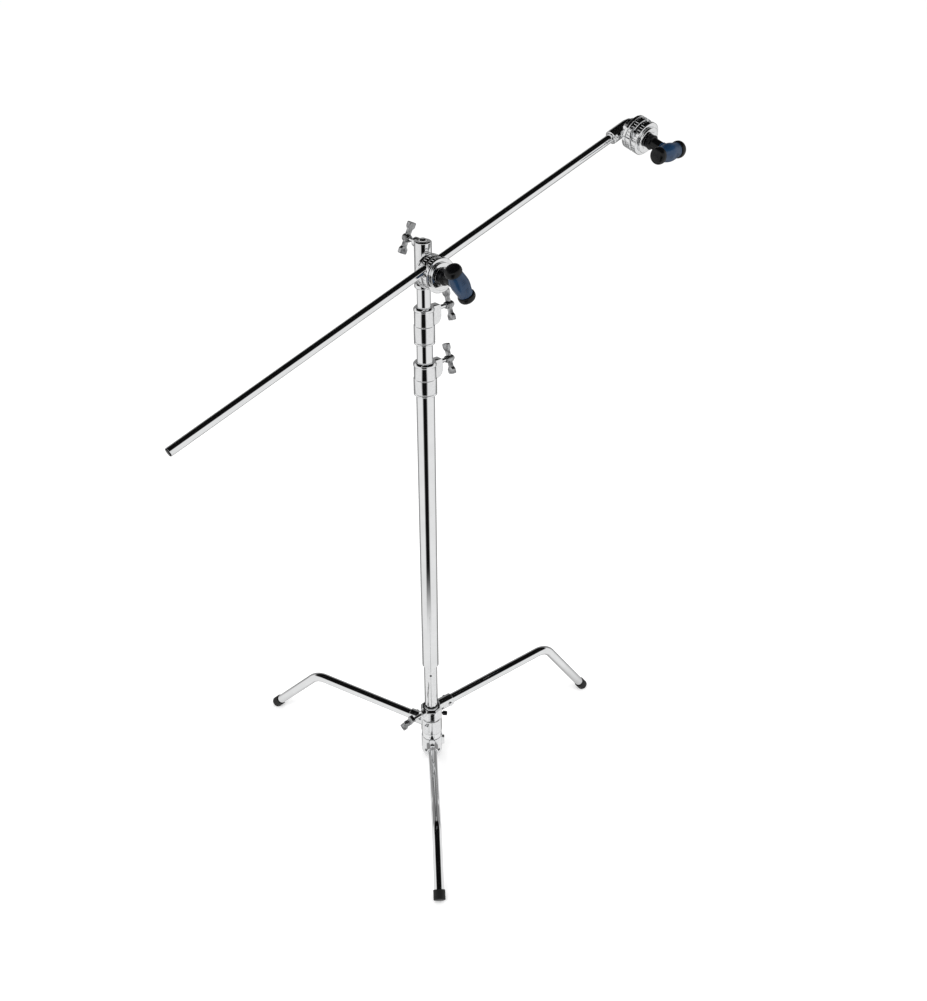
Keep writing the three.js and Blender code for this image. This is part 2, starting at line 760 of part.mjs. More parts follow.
function addArm(jaws) {
  const line = placed(jaws, { at: [armAxis, 0, armOffset] });
  const arm = alongY(tube(armRadius, armRadius - armWall, -armLow, armHigh + armInHead, 24));
  const pinHole = alongX(rod(2 + slideGap, -20, 20, 12)).rotateY(rad(farHeadRoll))
    .translate(0, armHigh + armInHead / 2, 0);
  add(line, 'arm_tube', shape([arm], [pinHole]), chrome);
  const cap = turned([
    [0, -armLow - 2],
    [armRadius - 1, -armLow - 2],
    [armRadius, -armLow - gap],
    [armRadius - armWall - gap, -armLow - gap],
    [armRadius - armWall - gap, -armLow + armCapLength],
    [0, -armLow + armCapLength],
  ], 24);
  add(line, 'arm_end_cap', alongY(cap), blackPlastic);
  return line;
}

function addFarHead(arm) {
  const head = placed(arm, { at: [0, armHigh + farDiscReach, 0], turn: [0, farHeadRoll, 0] });
  const frame = placed(head, { turn: [-90, 0, 0] });
  const sleeve = turned([
    [0, -farDiscReach - 14],
    [12, -farDiscReach - 14],
    [13, -farDiscReach - 13],
    [13, 0],
    [11, 12],
    [0, 12],
  ], medium);
  const pinAt = -farDiscReach + armInHead / 2;
  const pinHole = alongX(rod(2 + slideGap, -20, 20, 12)).translate(0, 0, pinAt);
  const body = shape([headDisc(), sleeve], [
    rod(armRadius + slideGap, -farDiscReach - 20, -farDiscReach + armInHead + gap, 24),
    pinHole,
    boltPocket(),
  ]);
  add(frame, 'far_body', body, castChrome);
  add(frame, 'far_cross_pin', alongX(rod(2, -11, 11, 12)).translate(0, 0, pinAt), darkSteel);
  add(frame, 'far_bolt', addBoltStack(frame, 'far'), chrome);
  addKnob(frame, 'far', farKnobTurn);
  addJaws(placed(frame, { turn: [farJawTurn, 0, 0] }), 'far');
}

// ---------------------------------------------------------------- assembly
const stand = new THREE.Group();
addHub(stand);
addLeg(stand, 'right');
addKnuckle('left', leftKnuckle, addLeg(stand, 'left'));
addKnuckle('front', frontKnuckle, addLeg(stand, 'front'));
const baseSide = placed(stand, { at: [0, 0, baseScrewHeight], turn: [0, 0, baseScrewAngle] });
addClampScrew(baseSide, 'base_clamp', spigotRadius + gap, baseWingReach, -35);
addColumn(stand);
addFarHead(addArm(addMainHead(stand)));

stand.updateMatrixWorld(true);
const middle = new THREE.Box3().setFromObject(stand, true).getCenter(new THREE.Vector3());
stand.position.set(-middle.x, -middle.y, 0);

const group = new THREE.Group();
group.name = 'lighting_stand';
group.add(stand);
group.updateMatrixWorld(true);

export default group;
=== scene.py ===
import json
import math

import bmesh
import bpy
from mathutils import Matrix, Vector

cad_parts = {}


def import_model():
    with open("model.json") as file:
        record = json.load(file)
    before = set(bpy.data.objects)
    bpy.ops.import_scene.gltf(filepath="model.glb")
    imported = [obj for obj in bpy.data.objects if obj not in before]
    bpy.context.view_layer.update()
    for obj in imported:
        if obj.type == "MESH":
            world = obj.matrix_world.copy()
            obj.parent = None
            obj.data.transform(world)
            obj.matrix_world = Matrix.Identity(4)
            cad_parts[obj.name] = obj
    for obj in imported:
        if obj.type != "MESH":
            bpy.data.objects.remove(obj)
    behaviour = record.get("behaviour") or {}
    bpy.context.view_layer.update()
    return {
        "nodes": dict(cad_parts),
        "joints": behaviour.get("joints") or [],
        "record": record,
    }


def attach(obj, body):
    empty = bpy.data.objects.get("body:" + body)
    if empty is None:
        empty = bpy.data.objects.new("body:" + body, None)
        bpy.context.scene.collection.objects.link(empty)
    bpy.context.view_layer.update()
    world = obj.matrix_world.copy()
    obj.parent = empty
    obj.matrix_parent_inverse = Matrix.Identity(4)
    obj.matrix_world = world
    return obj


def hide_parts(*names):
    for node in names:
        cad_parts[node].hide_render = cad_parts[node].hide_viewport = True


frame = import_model()

MM = 0.001
NODES = frame["nodes"]
JOINTS = {joint["name"]: joint for joint in frame["joints"]}
BODY_OF = {
    node: body
    for body, nodes in frame["record"]["behaviour"]["bodies"].items()
    for node in nodes
}
UP = Vector((0, 0, 1))
COLUMN = Vector(JOINTS["head_swivel"]["pos_m"]).xy.to_3d()


# ---------------------------------------------------------------- materials
class Nodes:
    """Short way to write a material's node tree."""

    def __init__(self, name):
        self.material = bpy.data.materials.new(name)
        self.material.use_nodes = True
        self.tree = self.material.node_tree
        self.shader = self.tree.nodes["Principled BSDF"]
        self.output = self.tree.nodes["Material Output"]

    def node(self, kind, inputs=None, **settings):
        made = self.tree.nodes.new(kind)
        for key, value in settings.items():
            setattr(made, key, value)
        for key, value in (inputs or {}).items():
            self.put(made.inputs[key], value)
        return made

    def put(self, socket, value):
        if isinstance(value, bpy.types.NodeSocket):
            self.tree.links.new(value, socket)
        else:
            socket.default_value = value

    def noise(self, scale, detail):
        place = self.node("ShaderNodeTexCoord").outputs["Object"]
        made = self.node("ShaderNodeTexNoise", {"Vector": place, "Scale": scale, "Detail": detail})
        return made.outputs["Fac"]

    def ramp(self, value, low, high, start=0.3, end=0.7):
        ramp = self.node("ShaderNodeMapRange", {
            "Value": value, "From Min": start, "From Max": end, "To Min": low, "To Max": high,
        })
        return ramp.outputs[0]

    def mix(self, value, first, second, start=0.3, end=0.7):
        mixer = self.node("ShaderNodeMix", data_type="RGBA")
        self.put(mixer.inputs["Factor"], self.ramp(value, 0, 1, start, end))
        self.put(mixer.inputs["A"], (*first, 1))
        self.put(mixer.inputs["B"], (*second, 1))
        return mixer.outputs["Result"]

    def bump(self, height, distance):
        made = self.node("ShaderNodeBump", {"Height": height, "Distance": distance, "Strength": 1.0})
        self.put(self.shader.inputs["Normal"], made.outputs[0])

    def set(self, **values):
        for key, value in values.items():
            self.put(self.shader.inputs[key.replace("_", " ")], value)
        return self.material


def chrome():
    m = Nodes("polished_chrome")
    smear = m.noise(35, 4)
    m.bump(m.noise(60, 1), 0.00001)
    return m.set(
        Base_Color=m.mix(smear, (0.90, 0.905, 0.91), (0.96, 0.965, 0.97)),
        Metallic=1.0,
        Roughness=m.ramp(smear, 0.02, 0.06),
    )


def cast_chrome():
    m = Nodes("cast_chrome")
    grain = m.noise(260, 2)
    m.bump(m.noise(70, 1), 0.00006)
    return m.set(
        Base_Color=m.mix(grain, (0.86, 0.865, 0.87), (0.95, 0.955, 0.96)),
        Metallic=1.0,
        Roughness=m.ramp(grain, 0.05, 0.09),
    )


def wing_painted_reflection():
    # Painted reflection: chrome darkened in its base colour. The noise mixes near-black and mid grey into
    # patches that paint the wings' dark reflections and their highlights. The roughness that follows the
    # same noise is real variation.
    m = Nodes("wing_painted_reflection")
    grain = m.noise(120, 2)
    m.bump(m.noise(90, 2), 0.0005)
    return m.set(
        # painted dark reflection and painted highlight patches in the base colour
        Base_Color=m.mix(grain, (0.10, 0.102, 0.105), (0.55, 0.555, 0.56)),
        Metallic=1.0,
        Roughness=m.ramp(grain, 0.08, 0.16),
    )


def dark_steel():
    m = Nodes("blackened_steel")
    grain = m.noise(500, 3)
    m.bump(grain, 0.0001)
    return m.set(
        Base_Color=m.mix(grain, (0.012, 0.012, 0.014), (0.045, 0.045, 0.05)),
        Metallic=1.0,
        Roughness=m.ramp(grain, 0.25, 0.45),
    )


def black_plastic():
    m = Nodes("black_plastic")
    grain = m.noise(900, 2)
    m.bump(grain, 0.00008)
    return m.set(
        Base_Color=m.mix(grain, (0.001, 0.001, 0.0012), (0.003, 0.003, 0.0035)),
        Roughness=m.ramp(grain, 0.18, 0.30),
        Specular_IOR_Level=0.3,
    )


def rubber():
    m = Nodes("black_rubber")
    grain = m.noise(700, 4)
    m.bump(grain, 0.0002)
    return m.set(
        Base_Color=m.mix(grain, (0.003, 0.003, 0.003), (0.010, 0.010, 0.010)),
        Roughness=m.ramp(grain, 0.5, 0.75),
    )


def blue_grip():
    m = Nodes("blue_plastic")
    grain = m.noise(900, 3)
    m.bump(grain, 0.0001)
    return m.set(
        Base_Color=m.mix(m.noise(40, 2), (0.004, 0.020, 0.052), (0.010, 0.036, 0.085)),
        Roughness=m.ramp(grain, 0.16, 0.26),
    )


def brass():
    m = Nodes("brass")
    grain = m.noise(300, 3)
    return m.set(
        Base_Color=m.mix(grain, (0.55, 0.38, 0.14), (0.72, 0.52, 0.22)),
        Metallic=1.0,
        Roughness=m.ramp(grain, 0.2, 0.4),
    )


def nylon():
    m = Nodes("nylon")
    grain = m.noise(300, 3)
    return m.set(
        Base_Color=m.mix(grain, (0.66, 0.64, 0.58), (0.76, 0.74, 0.68)),
        Roughness=m.ramp(grain, 0.4, 0.55),
    )


LOOKS = {
    "chrome": chrome(),
    "cast_chrome": cast_chrome(),
    "wing_painted_reflection": wing_painted_reflection(),
    "dark_steel": dark_steel(),
    "black_plastic": black_plastic(),
    "rubber": rubber(),
    "blue_grip": blue_grip(),
    "brass": brass(),
    "nylon": nylon(),
}
SLOT_OF = {part["node"]: part["material_slot"] for part in frame["record"]["subparts"]}


def dress_cad_nodes():
    for name, node in NODES.items():
        node.data.materials.clear()
        node.data.materials.append(LOOKS[SLOT_OF[name]])


EDGE = 0.3                       # rounding of a tube's ends


def mesh_object(name, points, faces):
    mesh = bpy.data.meshes.new(name)
    mesh.from_pydata([tuple(p) for p in points], [], faces)
    work = bmesh.new()
    work.from_mesh(mesh)
    bmesh.ops.remove_doubles(work, verts=work.verts, dist=1e-4)
    bmesh.ops.dissolve_degenerate(work, edges=work.edges, dist=1e-5)
    bmesh.ops.recalc_face_normals(work, faces=work.faces)
    work.to_mesh(mesh)
    work.free()
    made = bpy.data.objects.new(name, mesh)
    bpy.context.scene.collection.objects.link(made)
    return made


def rings_solid(name, rings, joined=False):
    """Solid through rings of points; joined makes the last ring meet the first."""
    count = len(rings[0])
    points = [point for ring in rings for point in ring]
    faces = []
    for i in range(len(rings) if joined else len(rings) - 1):
        here = i * count
        there = ((i + 1) % len(rings)) * count
        for k in range(count):
            after = (k + 1) % count
            faces.append((here + k, here + after, there + after, there + k))
    if not joined:
        faces.append(tuple(reversed(range(count))))
        faces.append(tuple(range(len(points) - count, len(points))))
    return mesh_object(name, points, faces)


def turned(name, outline, sides=64, axis="Z"):
    """Turned solid from (radius, height) pairs; an outline off the axis closes on itself."""
    joined = outline[0][0] > 0
    rings = []
    for radius, height in outline:
        radius = max(radius, 1e-3)
        ring = []
        for k in range(sides):
            angle = 2 * math.pi * k / sides
            across, up = radius * math.cos(angle), radius * math.sin(angle)
            ring.append(Vector((across, up, height)) if axis == "Z" else
                        Vector((height, across, up)) if axis == "X" else
                        Vector((up, height, across)))
        rings.append(ring)
    return rings_solid(name, rings, joined)


def rounded(outline, radius, steps=4):
    """Outline with a small curve in place of each corner but the first and the last."""
    result = [outline[0]]
    for before, corner, after in zip(outline, outline[1:], outline[2:]):
        b, c, a = Vector(before), Vector(corner), Vector(after)
        size = min(radius, (b - c).length * 0.45, (a - c).length * 0.45)
        start = c + (b - c).normalized() * size
        end = c + (a - c).normalized() * size
        for i in range(steps + 1):
            t = i / steps
            point = start * (1 - t) ** 2 + c * 2 * t * (1 - t) + end * t ** 2
            result.append((point.x, point.y))
    result.append(outline[-1])
    return result


def rod(name, radius, low, high, sides=64, axis="Z"):
    return turned(name, [(0, low), (radius, low), (radius, high), (0, high)], sides, axis)


def pipe(name, outer, inner, low, high, axis="Z"):
    middle = (low + high) / 2
    outline = rounded([(outer, middle), (outer, high), (inner, high), (inner, low), (outer, low),
                       (outer, middle)], EDGE, 3)
    return turned(name, outline[:-1], 96, axis)


def box(name, size, centre=(0, 0, 0)):
    x, y, z = (s / 2 for s in size)
    centre = Vector(centre)
    ring = [Vector(p) for p in ((-x, -y, 0), (x, -y, 0), (x, y, 0), (-x, y, 0))]
    rings = [[p + centre + Vector((0, 0, h)) for p in ring] for h in (-z, z)]
    return rings_solid(name, rings)


def superellipse(half_x, half_y, power, sides):
    ring = []
    for k in range(sides):
        angle = 2 * math.pi * k / sides
        c, s = math.cos(angle), math.sin(angle)
        ring.append((half_x * math.copysign(abs(c) ** (2 / power), c),
                     half_y * math.copysign(abs(s) ** (2 / power), s)))
    return ring


def loft(name, stations, sides=64):
    """Solid through (height, half width, half depth, power) stations."""
    rings = []
    for height, half_x, half_y, power in stations:
        ring = superellipse(half_x, half_y, power, sides)
        rings.append([Vector((x, y, height)) for x, y in ring])
    return rings_solid(name, rings)


def turn(piece, matrix):
    piece.data.transform(matrix)
    return piece


def spin(piece, degrees, axis):
    return turn(piece, Matrix.Rotation(math.radians(degrees), 4, axis))


def shift(piece, x=0.0, y=0.0, z=0.0):
    return turn(piece, Matrix.Translation((x, y, z)))


def bake(piece):
    """Replaces the piece's mesh by what its modifiers make of it."""
    graph = bpy.context.evaluated_depsgraph_get()
    mesh = bpy.data.meshes.new_from_object(piece.evaluated_get(graph))
    old = piece.data
    piece.modifiers.clear()
    piece.data = mesh
    bpy.data.meshes.remove(old)
    return piece


def combine(piece, joined=(), cut=()):
    for others, operation in ((joined, "UNION"), (cut, "DIFFERENCE")):
        for other in others:
            modifier = piece.modifiers.new(operation, "BOOLEAN")
            modifier.operation = operation
            modifier.solver = "EXACT"
            modifier.object = other
            bpy.context.view_layer.update()
            bake(piece)
            mesh = other.data
            bpy.data.objects.remove(other)
            bpy.data.meshes.remove(mesh)
    return piece


def melt(piece, voxel, smooth):
    """Runs the joined shapes into each other, as in a casting or a moulding."""
    remesh = piece.modifiers.new("melt", "REMESH")
    remesh.mode = "VOXEL"
    remesh.voxel_size = voxel
    smoothing = piece.modifiers.new("smooth", "SMOOTH")
    smoothing.factor = 0.5
    smoothing.iterations = smooth
    bpy.context.view_layer.update()
    return bake(piece)


def bevelled(piece, width, segments, angle):
    work = bmesh.new()
    work.from_mesh(piece.data)
    bmesh.ops.remove_doubles(work, verts=work.verts, dist=1e-3)
    bmesh.ops.dissolve_limit(work, angle_limit=math.radians(0.5), verts=work.verts, edges=work.edges)
    work.to_mesh(piece.data)
    work.free()
    bevel = piece.modifiers.new("bevel", "BEVEL")
    bevel.width = width
    bevel.segments = segments
    bevel.limit_method = "ANGLE"
    bevel.angle_limit = math.radians(angle)
    bevel.use_clamp_overlap = True
    bevel.miter_outer = "MITER_ARC"
    bpy.context.view_layer.update()
    return bake(piece)


def finish(piece, place, node, sharp=35):
    """Puts a local millimetre piece where its CAD node is, gives it its look and its body."""
    piece.name = node + "_fine"
    piece.data.transform(place @ Matrix.Scale(MM, 4))
    piece.data.shade_smooth()
    piece.data.set_sharp_from_angle(angle=math.radians(sharp))
    piece.data.materials.clear()
    piece.data.materials.append(LOOKS[SLOT_OF[node]])
    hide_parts(node)
    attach(piece, BODY_OF[node])
    return piece


def copied(node):
    """Copy of a CAD node in millimetres, in the row's frame."""
    mesh = NODES[node].data.copy()
    mesh.transform(Matrix.Scale(1 / MM, 4))
    piece = bpy.data.objects.new(node, mesh)
    bpy.context.scene.collection.objects.link(piece)
    return piece


def refined(node):
    """Copy of a CAD node with rounded edges."""
    return finish(bevelled(copied(node), 0.4, 2, 30), Matrix.Identity(4), node)


def cast(node, voxel, smooth):
    """CAD node with its edges run together, as in a casting."""
    return finish(melt(copied(node), voxel, smooth), Matrix.Identity(4), node, sharp=60)


# ---------------------------------------------------------------- stand
# Sizes in millimetres. The column's frame has its origin on the floor, under the column.
COLUMN_FRAME = Matrix.Translation(COLUMN)
DISC_AXIS = Vector(JOINTS["head_tilt"]["axis"])
ARM_LINE = Vector(JOINTS["arm_slide"]["axis"])
ARM_TILT = math.degrees(math.asin(ARM_LINE.z))
JAW_START, JAW_THICK, JAW_SPLIT, JAW_RADIUS = 24.5, 12.5, 2.0, 31.75
GRIP_AXIS = JAW_START + JAW_THICK + JAW_SPLIT / 2
GROOVE_OFFSET = 20.0
ARM_RADIUS, ARM_WALL = 7.95, 1.6
ARM_LOW_END, ARM_HIGH_END = -560, 480
FAR_JAW_TURN = 8                 # degrees that the far jaws are turned on their bolt
TUBE_WALL = 1.25
COLUMN_RADIUS, RISER_1_RADIUS, RISER_2_RADIUS = 17.5, 15.0, 12.5
COLUMN_FOOT, COLUMN_TOP = 258, 938
RISER_1_FOOT, RISER_1_TOP = 330, 1044
RISER_2_FOOT, RISER_2_TOP = 400, 1112
COLLAR_WALL = 4.5
COLLAR_SCREW_ANGLE = 38          # degrees from +X towards +Y
FIT = 0.3                        # between faces that slide or touch
LEG_RADIUS, LEG_WALL, LEG_CLIMB, LEG_BEND = 10, 1.8, 0.12, 42.0
LEG_START = 27                   # where a leg's tube starts, from the column's axis
# azimuth, distance of the aimed foot and of the bend's corner, and height of that corner
LEGS = {
    "right": (121, 430, 311.7, 169),
    "left": (-116.5, 412, 291, 128),
    "front": (1.25, 422, 303, 80),
}


def axes_frame(origin, x_axis, z_axis):
    x, z = Vector(x_axis).normalized(), Vector(z_axis).normalized()
    matrix = Matrix((x, z.cross(x), z)).transposed().to_4x4()
    matrix.translation = Vector(origin)
    return matrix


def world_turn(degrees, axis):
    return Matrix.Rotation(math.radians(degrees), 4, axis)


HEAD_FRAME = axes_frame(JOINTS["head_tilt"]["pos_m"], DISC_AXIS, UP)
JAW_FRAME = HEAD_FRAME @ world_turn(ARM_TILT, "X")
ARM_FRAME = JAW_FRAME @ Matrix.Translation((GRIP_AXIS * MM, 0, GROOVE_OFFSET * MM))
FAR_FRAME = axes_frame(JOINTS["far_jaw_turn"]["pos_m"], JOINTS["far_jaw_turn"]["axis"], ARM_LINE)
FAR_JAW_FRAME = FAR_FRAME @ world_turn(FAR_JAW_TURN, "X")


def tubes():
    for node, outer, low, high in (("column_tube", COLUMN_RADIUS, COLUMN_FOOT, COLUMN_TOP),
                                   ("riser_1_tube", RISER_1_RADIUS, RISER_1_FOOT, RISER_1_TOP),
                                   ("riser_2_tube", RISER_2_RADIUS, RISER_2_FOOT, RISER_2_TOP)):
        finish(pipe(node, outer, outer - TUBE_WALL, low, high), COLUMN_FRAME, node)
    arm = pipe("arm_tube", ARM_RADIUS, ARM_RADIUS - ARM_WALL, ARM_LOW_END, ARM_HIGH_END, axis="Y")
    finish(arm, ARM_FRAME, "arm_tube")
    cap = turned("arm_end_cap", rounded([(0, -562), (6.9, -562), (7.9, -560.4), (6, -560.3),
                                         (6, -546), (0, -546)], 0.4), 48, "Y")
    finish(cap, ARM_FRAME, "arm_end_cap")


def leg_line(name):
    """Leg in its own upright plane: frame, start, bend corner, sole, its fall and the foot's radius."""
    azimuth, reach, bend_reach, bend_height = LEGS[name]
    start_height = bend_height - LEG_CLIMB * (bend_reach - LEG_START)
    fall = math.atan2(bend_height - 6, reach - bend_reach)
    down = Vector((math.cos(fall), 0, -math.sin(fall)))
    corner = Vector((bend_reach, 0, bend_height))
    foot = 11.9
    sole = corner + down * ((bend_height - (foot * math.cos(fall) - 2.5)) / math.sin(fall))
    place = COLUMN_FRAME @ world_turn(azimuth - 90, "Z")
    return place, Vector((LEG_START, 0, start_height)), corner, sole, down, fall, foot


def legs():
    for name in LEGS:
        place, start, corner, sole, down, fall, foot = leg_line(name)
        along = (corner - start).normalized()
        angle = along.angle(down)
        first = corner - along * LEG_BEND * math.tan(angle / 2)
        inward = (down - along * math.cos(angle)).normalized()
        end = sole - down * 5.3
        stops = [(start, along), (start.lerp(first, 0.5), along)]
        for k in range(25):
            t = angle * k / 24
            point = first + along * LEG_BEND * math.sin(t) + inward * LEG_BEND * (1 - math.cos(t))
            stops.append((point, along * math.cos(t) + inward * math.sin(t)))
        last = stops[-1][0]
        stops += [(last.lerp(end, 0.5), down), (end, down)]
        side = Vector((0, 1, 0))

        def rings(radius, order):
            made = []
            for point, heading in order:
                across = heading.cross(side).normalized()
                made.append([point + (side * math.cos(a) + across * math.sin(a)) * radius
                             for a in (2 * math.pi * k / 48 for k in range(48))])
            return made
        tube = rings_solid(name, rings(LEG_RADIUS, stops) + rings(LEG_RADIUS - LEG_WALL, stops[::-1]),
                           joined=True)
        finish(tube, place, f"{name}_leg_tube")
        cup = turned(name, rounded([(0, 0), (foot, 0), (foot, 19), (10.3, 19), (10.3, 5), (0, 5)], 1.4),
                     64)
        turn(cup, Matrix.Translation(sole) @ world_turn(-90 + math.degrees(fall), "Y"))
        combine(cup, cut=[box("ground", (200, 200, 40), (sole.x, 0, -20))])
        finish(cup, place, f"{name}_foot_cap")


def spigot():
    body = turned("spigot", [(0, 126), (11.3, 126), (13.4, 127), (14.3, 129.5), (14.3, 257.7),
                             (15.95, 258.3), (15.95, 286), (0, 286)], 96)
    hole = rod("hole", 2.5, -30, 30, axis="Y", sides=32)
    shift(hole, z=236)
    combine(body, cut=[hole])
    finish(body, COLUMN_FRAME, "column_spigot")


def collar(node, low, high, grip, below, above):
    """Collar from low to high that grips the tube below it and guides the tube above it."""
    middle = (low + high) / 2
    radius = below + COLLAR_WALL
    body = turned(node, rounded([(above + FIT, middle), (above + FIT, high), (radius - 3, high),
                                 (radius, high - 3.6), (radius, high - 7), (radius - 1, high - 8),
                                 (radius - 1, middle + 1), (radius, middle), (radius, low + 7),
                                 (radius - 1, low + 6), (radius - 1, low + 5), (radius, low + 4),
                                 (radius, low + 1.5), (radius - 1.5, low), (below + FIT, low),
                                 (below + FIT, low + grip), (above + FIT, low + grip + FIT),
                                 (above + FIT, middle)], 0.5, 2)[:-1], 96)
    screw = high - 11
    inner, nose = radius - 3, radius + 15
    outline = [(inner, screw + 9), (nose - 5, screw + 9)]
    outline += [(nose - 5 + 5 * math.sin(a), screw + 4 + 5 * math.cos(a))
                for a in (math.radians(15 * k) for k in range(1, 7))]
    outline += [(nose - 14 + 14 * math.cos(a), screw - 14 - 14 * math.sin(a))
                for a in (math.radians(11.25 * k) for k in range(0, 9))]
    outline += [(inner, screw - 28)]
    lug = rings_solid("lug", [[Vector((x, y, z)) for x, z in outline] for y in (-7.5, 7.5)])
    bevelled(lug, 1.6, 4, 40)
    bore = rod("bore", 4.3, 0, 80, axis="X", sides=48)
    shift(bore, z=screw)
    for piece in (lug, bore):
        spin(piece, COLLAR_SCREW_ANGLE, "Z")
    clear = rod("clear", above + FIT, low + grip, high + 10, sides=96)
    combine(body, joined=[lug], cut=[bore, clear])
    finish(body, COLUMN_FRAME, node)


def top():
    cap = turned("cap", rounded([(8.2, 1113.4), (8.2, 1114.5), (12.2, 1118), (14.4, 1118), (16.6, 1115.4),
                                 (16.6, 1110), (14.8, 1108), (12.8, 1108), (12.8, 1112.3), (8.2, 1112.3),
                                 (8.2, 1113.4)], 0.6)[:-1], 96)
    finish(cap, COLUMN_FRAME, "riser_2_cap")
    stud = turned("stud", rounded([(0, 1067), (10.95, 1067), (10.95, 1111), (7.9, 1111), (7.9, 1152),
                                   (6.3, 1154), (6.3, 1166), (7.9, 1168), (7.9, 1195), (4.9, 1198),
                                   (0, 1198)], 0.8), 64)
    finish(stud, COLUMN_FRAME, "top_stud")


def jaw_grooves():
    made = []
    for radius, offset, turned_by in ((ARM_RADIUS, GROOVE_OFFSET, 0), (6.4, -GROOVE_OFFSET, 0),
                                      (4.8, GROOVE_OFFSET, 90), (3.2, -GROOVE_OFFSET, 90)):
        groove = rod("groove", radius + 0.3, -50, 50, axis="Y", sides=48)
        shift(groove, GRIP_AXIS, 0, offset)
        made.append(spin(groove, turned_by, "X"))
    return made


def jaw(node, low, place):
    """Plate with rounded rim notches all round, and a groove across it for each rod."""
    high, r = low + JAW_THICK, JAW_RADIUS
    plate = turned(node, rounded([(5.3, (low + high) / 2), (5.3, low), (r - 1.2, low), (r, low + 1.2),
                                  (r, high - 1.2), (r - 1.2, high), (5.3, high),
                                  (5.3, (low + high) / 2)], 0.5)[:-1], 144, "X")
    teeth = []
    count = 36
    for k in range(count):
        tooth = rod("tooth", 1.15, low + 2.6, high - 2.6, axis="X", sides=10)
        shift(tooth, z=r + 0.25)
        teeth.append(spin(tooth, (k + 0.5) * 360 / count, "X"))
    combine(plate, cut=[merged(teeth)] + jaw_grooves())
    return finish(plate, place, node)


def merged(pieces):
    """One object out of pieces that don't touch."""
    work = bmesh.new()
    for piece in pieces:
        work.from_mesh(piece.data)
    mesh = bpy.data.meshes.new("merged")
    work.to_mesh(mesh)
    work.free()
    for piece in pieces:
        old = piece.data
        bpy.data.objects.remove(piece)
        bpy.data.meshes.remove(old)
    made = bpy.data.objects.new("merged", mesh)
    bpy.context.scene.collection.objects.link(made)
    return made


def stack(prefix, place):
    start = JAW_START + 2 * JAW_THICK + JAW_SPLIT + 0.3
    bore = 5.3
    disc = turned("disc", rounded([(bore, start + 2), (bore, start), (24.2, start), (25, start + 0.8),
                                   (25, start + 4.2), (24.2, start + 5), (17, start + 5),
                                   (16, start + 4.4), (bore, start + 4.4), (bore, start + 2)], 0.4)[:-1],
                  96, "X")
    finish(disc, place, f"{prefix}_pressure_disc")
    start += 5.3
    ring = turned("ring", rounded([(bore, start + 2), (bore, start), (12.2, start), (13, start + 0.8),
                                   (13, start + 2.3), (12.2, start + 3), (13, start + 3.7),
                                   (13, start + 5.2), (12.2, start + 6), (bore, start + 6),
                                   (bore, start + 2)], 0.3)[:-1], 64, "X")
    finish(ring, place, f"{prefix}_thrust_bearing")
    start += 6.3
    sleeve = turned("sleeve", rounded([(bore, start + 2), (bore, start), (14, start), (14, start + 2.5),
                                       (10.5, start + 4), (10.5, start + 22), (bore, start + 22),
                                       (bore, start + 2)], 0.6)[:-1], 64, "X")
    finish(sleeve, place, f"{prefix}_spacer")
    return start + 22.3


def knob(prefix, place, angle, start):
    """T knob: soft bar that swells in the middle, flats towards its ends, and a cap on each end."""
    reach, half = 104.0, 24.0
    stations = [(-half, 13.4, 13.4, 2.0), (-half + 0.8, 14.0, 14.0, 2.0)]
    for k in range(-5, 6):
        t = k / 5
        swell = math.cos(t * math.pi / 2) ** 1.4
        stations.append((t * (half - 3), 14.1 + 1.9 * swell, 14.0 + 2.0 * swell, 2.0 + 0.5 * swell))
    stations += [(half - 0.8, 14.0, 14.0, 2.0), (half, 13.4, 13.4, 2.0)]
    bar = loft("bar", stations, 64)
    shift(bar, reach)
    neck = turned("neck", [(0, start), (10.6, start), (11.5, start + 1), (11.9, start + 8),
                           (13.2, start + 14), (13.2, reach), (0, reach)], 64, "X")
    bore = rod("bore", 5.3, 0, reach + 4.3, sides=48, axis="X")
    combine(bar, joined=[neck])
    melt(bar, 0.45, 8)
    ribs = []
    for side in (-1, 1):
        for k in range(5):
            rib = rod("rib", 0.55, -9, 9, sides=12, axis="Y")
            ribs.append(shift(rib, reach + 15.6 - 0.25 * k, 0, side * (6 + 3.3 * k)))
    combine(bar, cut=[merged(ribs), bore])
    spin(bar, angle, "X")
    finish(bar, place, f"{prefix}_knob_grip")
    for label, side in (("upper", 1), ("lower", -1)):
        dome = turned("dome", rounded([(0, half + 0.3), (14.6, half + 0.3), (16, half + 2.4),
                                       (16, half + 8), (14, half + 12), (9, half + 14.6),
                                       (0, half + 15)], 2.4, 6), 64)
        if side < 0:
            spin(dome, 180, "X")
        shift(dome, reach)
        spin(dome, angle, "X")
        finish(dome, place, f"{prefix}_knob_{label}_end")


